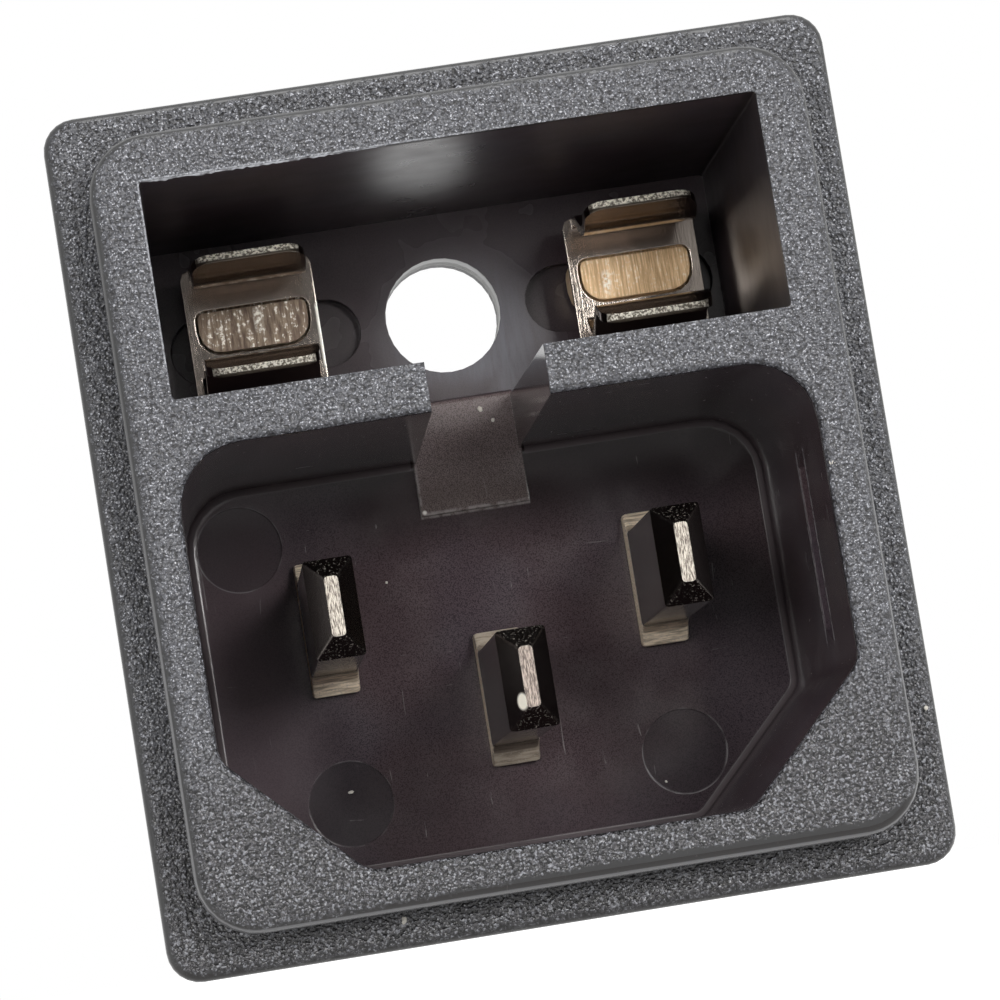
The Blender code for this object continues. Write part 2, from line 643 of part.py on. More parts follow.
def build_clip(name, stud_place, left_leg, plating):
    """A fuse clip bent from one strip: a web with two legs, an upper and a lower blade that grip the cap."""
    x = stud_place.x
    middle_z = stud_place.y - STUD_LIFT
    web_y = (WEB_FRONT_Y + WEB_BACK_Y) / 2
    foot_z = FUSE_BOTTOM_Z + SEAT_GAP
    top_z = middle_z + CLIP_WEB_RISE
    web = rectangle(CLIP_WEB_WIDTH, top_z - foot_z, (0.0, (top_z + foot_z) / 2))
    corner = LIP_CORNER_RADIUS / 2
    clip = add_object(
        name,
        shifted(prism(web, [corner / 4, corner / 4, corner, corner], SMALL_STEPS, WEB_FRONT_Y, WEB_BACK_Y), x),
        plating,
    )

    # Blade paths run from the web to the lip, as (y, height over the middle)
    lip_y = web_y - CLIP_JAW_REACH
    neck_y = lip_y + LIP_LENGTH
    belly_y = (neck_y + web_y) / 2 + CLIP_SHEET
    neck = JAW_NECK_HEIGHT / 2
    lip = JAW_LIP_HEIGHT / 2
    belly = JAW_BELLY_HEIGHT / 2
    window_bottom = STUD_LIFT - STUD_HEIGHT / 2 - FIT_GAP
    upper_root = CLIP_WEB_RISE - CLIP_SHEET
    lower_root = window_bottom - 1.2 * CLIP_SHEET
    upper = [(web_y, upper_root - CLIP_SHEET), (web_y, upper_root), (web_y - CLIP_SHEET, upper_root + CLIP_SHEET / 2),
             (belly_y, belly), (neck_y, neck), (lip_y, lip)]
    lower = [(web_y, lower_root + CLIP_SHEET / 2), (web_y - CLIP_SHEET / 2, lower_root - CLIP_SHEET),
             (belly_y, -belly), (neck_y, -neck), (lip_y, -lip)]
    foot_cut_top = middle_z + lower_root - CLIP_SHEET
    foot_cut = rectangle(
        CLIP_WEB_WIDTH - left_leg - LEG_WIDTH,
        foot_cut_top - foot_z + OVERSHOOT,
        ((left_leg - LEG_WIDTH) / 2, (foot_cut_top + foot_z - OVERSHOOT) / 2),
    )
    cut(clip, shifted(loft([(foot_cut, WEB_FRONT_Y - OVERSHOOT), (foot_cut, WEB_BACK_Y + OVERSHOOT)]), x), "legs")
    for label, points in (("upper", upper), ("lower", lower)):
        path = smooth_path([Vector((y, middle_z + height)) for y, height in points], EDGE_STEPS)
        join(clip, shifted(bent_blade(path, CLIP_BLADE_WIDTH / 2, LIP_CORNER_RADIUS, CLIP_SHEET), x), f"{label}_blade")
    window = stud_outline(stud_place, FIT_GAP)
    cut(clip, loft([(window, WEB_FRONT_Y - CLIP_SHEET), (window, WEB_BACK_Y + OVERSHOOT)]), "window")
    return clip


def build_tab(name, place, turned, plating):
    """A quick-connect tab bent from one strip: its foot is staked in a rear pocket, its blade stands out."""
    end_y = BODY_DEPTH + TAB_LENGTH
    outer = TAB_BEND_RADIUS
    inner = TAB_BEND_RADIUS - STRIP_THICKNESS
    # Outline in (x, y): along the foot's front face, round the bend, up the blade and back down
    outline = [Vector((-TAB_FOOT_SHORT, STRIP_BACK_Y)), Vector((-TAB_FOOT_SHORT, STRIP_FRONT_Y))]
    centre = Vector((TAB_FOOT_LONG - outer, STRIP_FRONT_Y + outer))
    for step in range(CORNER_STEPS + 1):
        angle = -math.pi / 2 + math.pi / 2 * step / CORNER_STEPS
        outline.append(centre + Vector((math.cos(angle), math.sin(angle))) * outer)
    outline += [Vector((TAB_FOOT_LONG, end_y)), Vector((TAB_FOOT_LONG - STRIP_THICKNESS, end_y))]
    for step in range(CORNER_STEPS + 1):
        angle = -math.pi / 2 * step / CORNER_STEPS
        outline.append(centre + Vector((math.cos(angle), math.sin(angle))) * inner)
    tab = add_object(name, tube_in_z(outline, -TAB_WIDTH / 2, TAB_WIDTH / 2), plating)

    hole = rectangle(TENON_THICKNESS + 2 * FIT_GAP, TENON_WIDTH + 2 * FIT_GAP)
    tools = {"tenon_hole": loft([(hole, STRIP_FRONT_Y - OVERSHOOT), (hole, STRIP_BACK_Y + OVERSHOOT)])}
    start_x = TAB_FOOT_LONG - STRIP_THICKNESS - OVERSHOOT
    end_x = TAB_FOOT_LONG + OVERSHOOT
    round_hole = disc(TAB_HOLE_DIAMETER / 2, Vector((end_y - TAB_HOLE_DISTANCE, 0.0)), HOLE_SIDES // 2)
    tools["blade_hole"] = tube_in_x(round_hole, start_x, end_x)
    for side, label in ((-1, "low"), (1, "high")):
        corner = [
            Vector((end_y - TAB_TIP_CHAMFER - OVERSHOOT, side * (TAB_WIDTH / 2 + OVERSHOOT))),
            Vector((end_y + OVERSHOOT, side * (TAB_WIDTH / 2 + OVERSHOOT))),
            Vector((end_y + OVERSHOOT, side * (TAB_WIDTH / 2 - TAB_TIP_CHAMFER - OVERSHOOT))),
        ]
        tools[f"tip_{label}"] = tube_in_x(corner, start_x, end_x)
    location = (place.x, 0.0, place.y)
    rotation = (0.0, -math.pi / 2 if turned else 0.0, 0.0)
    for label, mesh in tools.items():
        helper = cut(tab, mesh, label)
        helper.location = location
        helper.rotation_euler = rotation
    tab.location = location
    tab.rotation_euler = rotation
    return tab


def build_link(plating):
    """The strip at the rear that joins the line pin to the line clip's stud."""
    radius = LINK_END_MARGIN / 2
    strip = prism(link_corners(), [radius] * 4, SMALL_STEPS, STRIP_FRONT_Y, STRIP_BACK_Y)
    link = add_object("line_link", strip, plating)
    for label, place, turned in (("pin_hole", LINE_PIN_PLACE, False), ("stud_hole", LINE_STUD_PLACE, True)):
        size = (TENON_THICKNESS + 2 * FIT_GAP, TENON_WIDTH + 2 * FIT_GAP)
        corners = rectangle(*(reversed(size) if turned else size), place)
        cut(link, loft([(corners, STRIP_FRONT_Y - OVERSHOOT), (corners, STRIP_BACK_Y + OVERSHOOT)]), label)
    return link


def main():
    clear_scene()
    plastic = make_material("black_plastic", (0.035, 0.034, 0.036), 0.55, 0.0)
    plating = make_material("nickel_plating", (0.66, 0.62, 0.55), 0.28, 1.0)
    brass = make_material("brass", (0.72, 0.52, 0.34), 0.35, 1.0)
    build_housing(plastic)
    build_pin("line_pin", LINE_PIN_PLACE, PIN_LENGTH, plating)
    build_pin("neutral_pin", NEUTRAL_PIN_PLACE, PIN_LENGTH, plating)
    build_pin("earth_pin", EARTH_PIN_PLACE, EARTH_PIN_LENGTH, plating)
    build_clip("line_fuse_clip", LINE_STUD_PLACE, LEG_WIDTH, plating)
    build_clip("load_fuse_clip", LOAD_STUD_PLACE, LOAD_LEG_WIDTH, plating)
    build_stud("line_clip_stud", LINE_STUD_PLACE, brass)
    build_stud("load_clip_stud", LOAD_STUD_PLACE, brass)
    build_link(plating)
    build_tab("neutral_tab", NEUTRAL_PIN_PLACE, False, plating)
    build_tab("earth_tab", EARTH_PIN_PLACE, False, plating)
    build_tab("load_tab", LOAD_STUD_PLACE, True, plating)


main()
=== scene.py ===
import math
import random

import bmesh
import bpy
from mathutils import Matrix, Vector, noise


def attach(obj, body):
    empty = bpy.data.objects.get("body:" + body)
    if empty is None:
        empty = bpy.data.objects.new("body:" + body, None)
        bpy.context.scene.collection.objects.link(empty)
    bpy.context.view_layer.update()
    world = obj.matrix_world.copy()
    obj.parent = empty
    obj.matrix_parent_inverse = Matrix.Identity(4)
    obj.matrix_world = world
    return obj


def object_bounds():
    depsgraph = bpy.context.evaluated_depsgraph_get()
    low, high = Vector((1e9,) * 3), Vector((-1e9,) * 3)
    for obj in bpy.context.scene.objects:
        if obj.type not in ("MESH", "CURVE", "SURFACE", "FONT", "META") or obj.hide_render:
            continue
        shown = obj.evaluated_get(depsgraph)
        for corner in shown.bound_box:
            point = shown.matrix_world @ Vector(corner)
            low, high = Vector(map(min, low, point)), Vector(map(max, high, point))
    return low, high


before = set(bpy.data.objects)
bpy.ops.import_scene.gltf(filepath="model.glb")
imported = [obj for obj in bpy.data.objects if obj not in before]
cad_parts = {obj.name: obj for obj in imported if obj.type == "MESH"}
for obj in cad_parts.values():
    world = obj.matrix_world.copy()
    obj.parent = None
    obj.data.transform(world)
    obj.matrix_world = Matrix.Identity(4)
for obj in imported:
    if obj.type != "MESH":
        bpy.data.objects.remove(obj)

CAD_LOW, CAD_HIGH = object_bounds()

# Camera, found from the outlines of the flange, the cavities and the pins in the photograph
CAMERA_PLACE = Vector((-0.01432, -0.18023, -0.016655))
CAMERA_RIGHT = Vector((0.98520, -0.06426, -0.15890))
CAMERA_UP = Vector((0.15193, -0.10179, 0.98314))
CAMERA_LENS = 165.6
CAMERA_SENSOR = 36.0

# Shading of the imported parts: points closer than this, in metres, are joined; edges over this angle stay sharp
JOIN_DISTANCE = 0.000001
SHARP_DEGREES = 30

# Studio: what the surroundings give matt surfaces, and their dark side: its brightness in reflections, and the
# y of the direction where it is full and where it ends
AMBIENT = 0.20
DARK_SIDE = 0.05
DARK_SIDE_FULL = -0.92
DARK_SIDE_END = -0.18

# Floor: half its size, its own grey, its glow, and the share of the glow left in reflections at a y in front
FLOOR_HALF_SIZE = 1.5
FLOOR_GREY = 0.50
FLOOR_GLOW = 0.90
FLOOR_DIM = 0.10
FLOOR_DIM_FRONT = -0.060

# Lamps: place, size, power and colour
LAMPS = {
    "key_lamp": ((0.065, -0.375, 0.240), 0.20, 0.45, (1.0, 0.99, 0.97)),
    "front_right_lamp": ((0.17, -0.40, 0.08), 0.13, 0.95, (1.0, 0.985, 0.965)),
    "front_left_lamp": ((-0.20, -0.39, 0.06), 0.15, 0.80, (1.0, 0.985, 0.965)),
    "top_lamp": ((0.05, -0.12, 0.40), 0.20, 0.65, (1.0, 1.0, 1.0)),
    "right_lamp": ((0.38, -0.16, 0.06), 0.20, 0.45, (0.99, 1.0, 1.0)),
    "left_lamp": ((-0.38, -0.16, 0.06), 0.20, 0.10, (0.98, 0.99, 1.0)),
}

# Places on the moulding, in millimetres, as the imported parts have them: faces by their y, edges by their z
MM = 1000.0
FRONT_MM = CAD_LOW.y * MM
FLANGE_MM = -1.8
FLOOR_MM = 12.4
FUSE_WALL_MM = 13.2
LIP_MM = 4.75
OPENING_TOP_MM = 13.66
# Half width and half height that hold the cavities
CAVITIES_HALF_X = 12.60
CAVITIES_HALF_Z = 14.15
# Half width, half height and corner radius of the two faces that carry the grain
FLANGE_OUTLINE = (15.6, 17.05, 1.3)
PLATFORM_OUTLINE = (14.13, 15.58, 2.4)
# Middle of each ejector mark on the inlet's floor, and how dark it is
EJECTOR_MARKS = {(-7.1, -10.76): 0.65, (7.1, -10.76): 0.35, (-10.1, 0.49): 0.35}


class Graph:
    """Node tree of one material; places are in millimetres, and most methods return an output socket."""

    def __init__(self, name):
        self.material = bpy.data.materials.new(name)
        self.material.use_nodes = True
        self.tree = self.material.node_tree
        self.shader = self.tree.nodes["Principled BSDF"]
        coordinates = self.add("ShaderNodeTexCoord")
        scaled = self.add("ShaderNodeVectorMath", operation="SCALE")
        self.link(coordinates.outputs["Object"], scaled.inputs[0])
        scaled.inputs["Scale"].default_value = MM
        self.place = scaled.outputs[0]
        split = self.add("ShaderNodeSeparateXYZ")
        self.link(self.place, split.inputs[0])
        self.x, self.y, self.z = split.outputs
        facing = self.add("ShaderNodeSeparateXYZ")
        self.link(self.add("ShaderNodeNewGeometry").outputs["True Normal"], facing.inputs[0])
        self.normal_x, self.normal_y, self.normal_z = facing.outputs

    def add(self, kind, **settings):
        node = self.tree.nodes.new(kind)
        for key, value in settings.items():
            setattr(node, key, value)
        return node

    def link(self, output, socket):
        self.tree.links.new(output, socket)

    def put(self, value, socket):
        if isinstance(value, bpy.types.NodeSocket):
            self.link(value, socket)
        else:
            socket.default_value = value

    def math(self, operation, a, b=0.0):
        node = self.add("ShaderNodeMath", operation=operation)
        self.put(a, node.inputs[0])
        self.put(b, node.inputs[1])
        return node.outputs[0]

    def times(self, *factors):
        result = factors[0]
        for factor in factors[1:]:
            result = self.math("MULTIPLY", result, factor)
        return result

    def plus(self, *terms):
        result = terms[0]
        for term in terms[1:]:
            result = self.math("ADD", result, term)
        return result

    def inverse(self, value):
        return self.math("SUBTRACT", 1.0, value)

    def ramp(self, value, start, end, low=0.0, high=1.0):
        """Value turned smoothly from start..end into low..high, and held beyond them."""
        node = self.add("ShaderNodeMapRange", interpolation_type="SMOOTHSTEP")
        self.put(value, node.inputs["Value"])
        for name, number in (("From Min", start), ("From Max", end), ("To Min", low), ("To Max", high)):
            self.put(number, node.inputs[name])
        return node.outputs["Result"]

    def band(self, value, middle, half, soft):
        """1 within half of the middle, falling to 0 over the soft distance."""
        away = self.math("ABSOLUTE", self.math("SUBTRACT", value, middle))
        return self.ramp(away, half + soft, half)

    def ball(self, middle, radius, soft):
        """1 within a radius of a place, falling to 0 over the soft distance."""
        node = self.add("ShaderNodeVectorMath", operation="DISTANCE")
        self.link(self.place, node.inputs[0])
        node.inputs[1].default_value = middle
        return self.ramp(node.outputs["Value"], radius + soft, radius)

    def inset(self, half_x, half_z, radius):
        """How far a place lies within a rounded rectangle seen from the front, in millimetres."""
        past_x = self.math("SUBTRACT", self.math("ABSOLUTE", self.x), half_x - radius)
        past_z = self.math("SUBTRACT", self.math("ABSOLUTE", self.z), half_z - radius)
        corner_x = self.math("MAXIMUM", past_x, 0.0)
        corner_z = self.math("MAXIMUM", past_z, 0.0)
        corner = self.math("SQRT", self.plus(self.times(corner_x, corner_x), self.times(corner_z, corner_z)))
        straight = self.math("MINIMUM", self.math("MAXIMUM", past_x, past_z), 0.0)
        return self.math("SUBTRACT", radius, self.plus(corner, straight))

    def stretched(self, scale, turn=(0.0, 0.0, 0.0)):
        """Place turned and scaled, so that noise on it runs in streaks."""
        node = self.add("ShaderNodeMapping")
        self.link(self.place, node.inputs["Vector"])
        node.inputs["Rotation"].default_value = turn
        node.inputs["Scale"].default_value = scale
        return node.outputs[0]

    def noise(self, scale, detail=2.0, roughness=0.5, vector=None, distortion=0.0):
        node = self.add("ShaderNodeTexNoise")
        self.link(vector or self.place, node.inputs["Vector"])
        node.inputs["Scale"].default_value = scale
        node.inputs["Detail"].default_value = detail
        node.inputs["Roughness"].default_value = roughness
        node.inputs["Distortion"].default_value = distortion
        return node.outputs["Fac"]

    def cells(self, scale):
        node = self.add("ShaderNodeTexVoronoi", feature="F1")
        self.link(self.place, node.inputs["Vector"])
        node.inputs["Scale"].default_value = scale
        node.inputs["Randomness"].default_value = 1.0
        return node.outputs["Distance"]

    def mix(self, factor, a, b):
        node = self.add("ShaderNodeMix", data_type="RGBA")
        self.put(factor, node.inputs[0])
        self.put(a if isinstance(a, bpy.types.NodeSocket) else (*a, 1.0), node.inputs[6])
        self.put(b if isinstance(b, bpy.types.NodeSocket) else (*b, 1.0), node.inputs[7])
        return node.outputs[2]

    def blend(self, factor, a, b):
        """A number that goes from a to b with the factor."""
        node = self.add("ShaderNodeMix", data_type="FLOAT")
        self.put(factor, node.inputs[0])
        self.put(a, node.inputs[2])
        self.put(b, node.inputs[3])
        return node.outputs[0]

    def bump(self, height, distance, normal=None):
        """Normal tilted by a height that is worth the distance, in metres, for each unit."""
        node = self.add("ShaderNodeBump")
        self.put(height, node.inputs["Height"])
        node.inputs["Distance"].default_value = distance
        if normal:
            self.link(normal, node.inputs["Normal"])
        return node.outputs[0]

    def finish(self, colour, roughness, normal, metallic=0.0):
        self.put(colour, self.shader.inputs["Base Color"])
        self.put(roughness, self.shader.inputs["Roughness"])
        self.link(normal, self.shader.inputs["Normal"])
        self.put(metallic, self.shader.inputs["Metallic"])
        self.shader.inputs["Specular IOR Level"].default_value = 0.5
        return self.material


def grain_mask(g, outside, on_flange, ragged):
    """Where the front is eroded; the grain thins out over rounded edges, early on the left and at the top."""
    within = g.blend(on_flange, g.inset(*PLATFORM_OUTLINE), g.inset(*FLANGE_OUTLINE))
    within = g.plus(within, g.times(g.plus(ragged, -0.5), 0.5))
    shy = g.math("MAXIMUM", g.ramp(g.x, -12.6, -14.0), g.ramp(g.z, 13.4, 15.0))
    low_band = g.times(g.ramp(g.z, -14.0, -14.8), g.inverse(on_flange))
    start = g.plus(0.02, g.times(shy, 0.14), g.times(low_band, g.ramp(g.x, -12.0, 4.0, 0.05, 0.45)))
    covered = g.ramp(g.math("SUBTRACT", within, start), 0.0, 0.22)
    steep = g.ramp(g.normal_y, -0.30, -0.75)
    mouth = g.times(
        g.ramp(g.y, FRONT_MM + 0.33, FRONT_MM + 0.25), g.ramp(g.normal_y, -0.10, -0.60),
        g.band(g.x, 0.0, 12.9, 0.02), g.band(g.z, 0.0, 14.1, 0.2))
    face = g.times(covered, steep, g.math("MAXIMUM", g.ramp(g.y, FRONT_MM + 0.60, FRONT_MM + 0.50), on_flange))
    return g.times(g.math("MAXIMUM", face, mouth), outside)


def front_grain(g, on_flange):
    """Colour, roughness and height of the grain: rounded bumps 0.1 to 0.2 mm apart, each with its own glint from
    the lamps; the pits are darker, partly as painted shade, and light dots on the tops are painted highlights.
    """
    patches = g.ramp(g.noise(3.0, 1.0, 0.5), 0.40, 0.60)
    bumps = g.cells(9.0)
    swells = g.noise(5.0, 0.5, 0.5)
    fine = g.noise(17.0, 1.0, 0.6)
    grain = g.plus(g.times(bumps, bumps, -0.8), g.times(swells, 0.9), g.times(fine, 0.35))
    crest = g.ramp(grain, 0.05, 0.60)
    # Painted highlights: light dots on the tops that stand in for glints
    painted_glints = g.ramp(g.noise(12.0, 1.0, 0.6), 0.58, 0.68)
    # Pits darker than tops: the grain's tone, partly painted shade
    pits = g.mix(on_flange, (0.020, 0.0195, 0.022), (0.006, 0.0055, 0.007))
    tops = g.mix(on_flange, (0.098, 0.101, 0.114), (0.064, 0.066, 0.075))
    tops = g.mix(patches, tops, (0.066, 0.068, 0.078))
    tops = g.mix(g.times(painted_glints, 0.85), tops, (0.44, 0.45, 0.50))

    # Painted shade towards the lower edge: the ground is darker there, and light dots of painted highlight make
    # the bumps stand out more
    lower = g.times(g.ramp(g.z, -6.0, -12.5), 0.85)
    painted_soft_glints = g.ramp(g.noise(8.0, 1.5, 0.6), 0.50, 0.64)
    lower_tops = g.mix(painted_soft_glints, (0.030, 0.028, 0.032), (0.22, 0.225, 0.25))
    lower_colour = g.mix(g.ramp(grain, 0.25, 0.50), (0.002, 0.0018, 0.0024), lower_tops)
    colour = g.mix(lower, g.mix(crest, pits, tops), lower_colour)
    roughness = g.plus(g.blend(crest, 0.28, 0.16), g.times(lower, -0.05))
    return colour, roughness, g.times(grain, 1.8)


def body_finish(g, body, drift):
    """Colour, roughness and height of the blasted finish outside, with drag marks from the panel's cut-out."""
    blasted = g.noise(9.0, 3.0, 0.65)
    marks = g.ramp(g.noise(1.0, 3.0, 0.6, g.stretched((4.0, 0.35, 4.0))), 0.58, 0.68)
    dragged = g.times(marks, g.ramp(drift, 0.35, 0.60), body)
    speckle = g.ramp(blasted, 0.35, 0.65)
    cast = g.mix(speckle, (0.014, 0.014, 0.015), (0.038, 0.038, 0.040))
    colour = g.mix(g.times(dragged, 0.45), cast, (0.12, 0.12, 0.125))
    roughness = g.plus(0.40, g.times(speckle, 0.14), g.times(dragged, -0.12))
    return colour, roughness, g.times(body, blasted, 0.9)


def polished_tone(g, drift, mottle):
    """Warm black of the polished cavities, cooler in places and mottled; the inlet's floor has painted light on
    its left and painted shade on its upper right and at its bottom.
    """
    dark = g.mix(drift, (0.041, 0.027, 0.031), (0.054, 0.037, 0.041))
    cool = g.ramp(g.noise(0.17, 1.0, 0.5), 0.42, 0.62)
    dark = g.mix(g.times(cool, 0.7), dark, (0.040, 0.036, 0.047))
    dark = g.mix(g.times(mottle, 0.5), dark, (0.094, 0.066, 0.075))
    dark = g.mix(g.ramp(mottle, 0.5, 0.0, 0.0, 0.6), dark, (0.022, 0.014, 0.017))
    floor = g.times(g.ramp(g.y, FLOOR_MM - 0.6, FLOOR_MM - 0.3), g.ramp(g.z, 3.2, 2.8))
    top = g.times(floor, g.ramp(g.z, -1.5, 1.5), g.ramp(g.x, -7.0, -4.0))
    # Painted light on the floor's left, painted shade on its upper right and at its bottom
    dark = g.mix(g.times(floor, g.ramp(g.x, -6.5, -10.0), 0.55), dark, (0.110, 0.084, 0.095))
    dark = g.mix(g.times(top, 0.8), dark, (0.014, 0.009, 0.010))
    return g.mix(g.times(floor, g.ramp(g.z, -9.5, -12.0), 0.35), dark, (0.020, 0.014, 0.016))


def pad_painted_light(g, colour, mottle, ragged):
    """Pad at the end of the slot: a shade lighter with painted light, most at its top, with painted highlights
    along its left and lower edges and a bright painted highlight on one corner.
    """
    pad = g.times(
        g.band(g.x, 0.0, 2.3, 0.05), g.band(g.y, FLOOR_MM - 0.1, 0.13, 0.05), g.band(g.z, 3.0, 2.35, 0.1))
    # Painted light: the pad a shade lighter than the floor, most at its top
    tone = g.mix(mottle, (0.060, 0.044, 0.042), (0.150, 0.122, 0.116))
    tone = g.mix(g.times(g.ramp(g.z, 1.2, 2.6), mottle), tone, (0.230, 0.185, 0.185))
    colour = g.mix(g.times(pad, 0.75), colour, tone)
    # Painted highlights along the pad's left and lower edges
    edge = g.math("MAXIMUM", g.ramp(g.x, -2.16, -2.26), g.ramp(g.z, 0.88, 0.78))
    edge = g.times(pad, edge, g.ramp(ragged, 0.30, 0.60))
    colour = g.mix(g.times(edge, 0.45), colour, (0.30, 0.28, 0.28))
    # Painted highlight on the pad's lower left corner
    return g.mix(g.ball((-2.16, FLOOR_MM - 0.2, 0.84), 0.03, 0.10), colour, (0.60, 0.58, 0.55))


def ejector_marks(g, colour):
    """Ejector marks on the inlet's floor: dark discs with a thin light rim, worn away in places."""
    for (x, z), shade in EJECTOR_MARKS.items():
        disc = g.ball((x, FLOOR_MM, z), 1.74, 0.06)
        ring = g.math("SUBTRACT", g.ball((x, FLOOR_MM, z), 1.80, 0.04), disc)
        worn = g.times(ring, g.ramp(g.noise(0.6, 2.0, 0.6), 0.40, 0.65))
        colour = g.mix(g.times(disc, shade), colour, (0.022, 0.019, 0.022))
        colour = g.mix(g.times(worn, 0.65), colour, (0.26, 0.25, 0.26))
    return colour


def painted_highlight_lines(g, colour, outside, on_flange, ragged):
    """Painted highlights as light lines: the raised front's outer edge, the two edges of a slit in the inlet's
    wall, the fuse opening's edges.
    """
    # Painted highlight along the raised front's outer edge, stronger towards the bottom
    outline = g.band(g.inset(*PLATFORM_OUTLINE), 0.05, 0.05, 0.05)
    platform_edge_highlight = g.times(outline, outside, g.inverse(on_flange), g.ramp(g.z, 8.0, -8.0, 0.25, 1.0))
    colour = g.mix(g.times(platform_edge_highlight, 0.75), colour, (0.19, 0.19, 0.20))
    # Painted highlights on the two edges of the slit in the inlet's right wall
    slit_edge_highlights = g.math("MAXIMUM", g.band(g.y, 0.70, 0.09, 0.09), g.band(g.y, 2.60, 0.09, 0.09))
    slit_edge_highlights = g.times(
        slit_edge_highlights, g.ramp(g.x, 11.9, 12.1), g.band(g.z, -3.86, 3.8, 0.3), g.ramp(ragged, 0.25, 0.5),
        g.ramp(g.normal_x, -0.85, -0.95))
    colour = g.mix(g.times(slit_edge_highlights, 0.7), colour, (0.36, 0.34, 0.36))
    # Painted highlights along the fuse opening's left and top edges
    in_front = g.ramp(g.y, FRONT_MM + 0.12, FRONT_MM + 0.06)
    left_line = g.times(g.band(g.x, -12.16, 0.02, 0.03), g.ramp(g.z, 5.6, 6.2), g.ramp(g.z, 13.8, 13.6))
    top_line = g.times(g.band(g.z, 13.70, 0.02, 0.03), g.ramp(g.x, 9.0, -6.0), g.band(g.x, 0.0, 12.1, 0.05))
    opening_edge_highlight = g.times(in_front, g.math("MAXIMUM", left_line, top_line), g.ramp(ragged, 0.30, 0.55))
    return g.mix(g.times(opening_edge_highlight, 0.7), colour, (0.34, 0.35, 0.38))


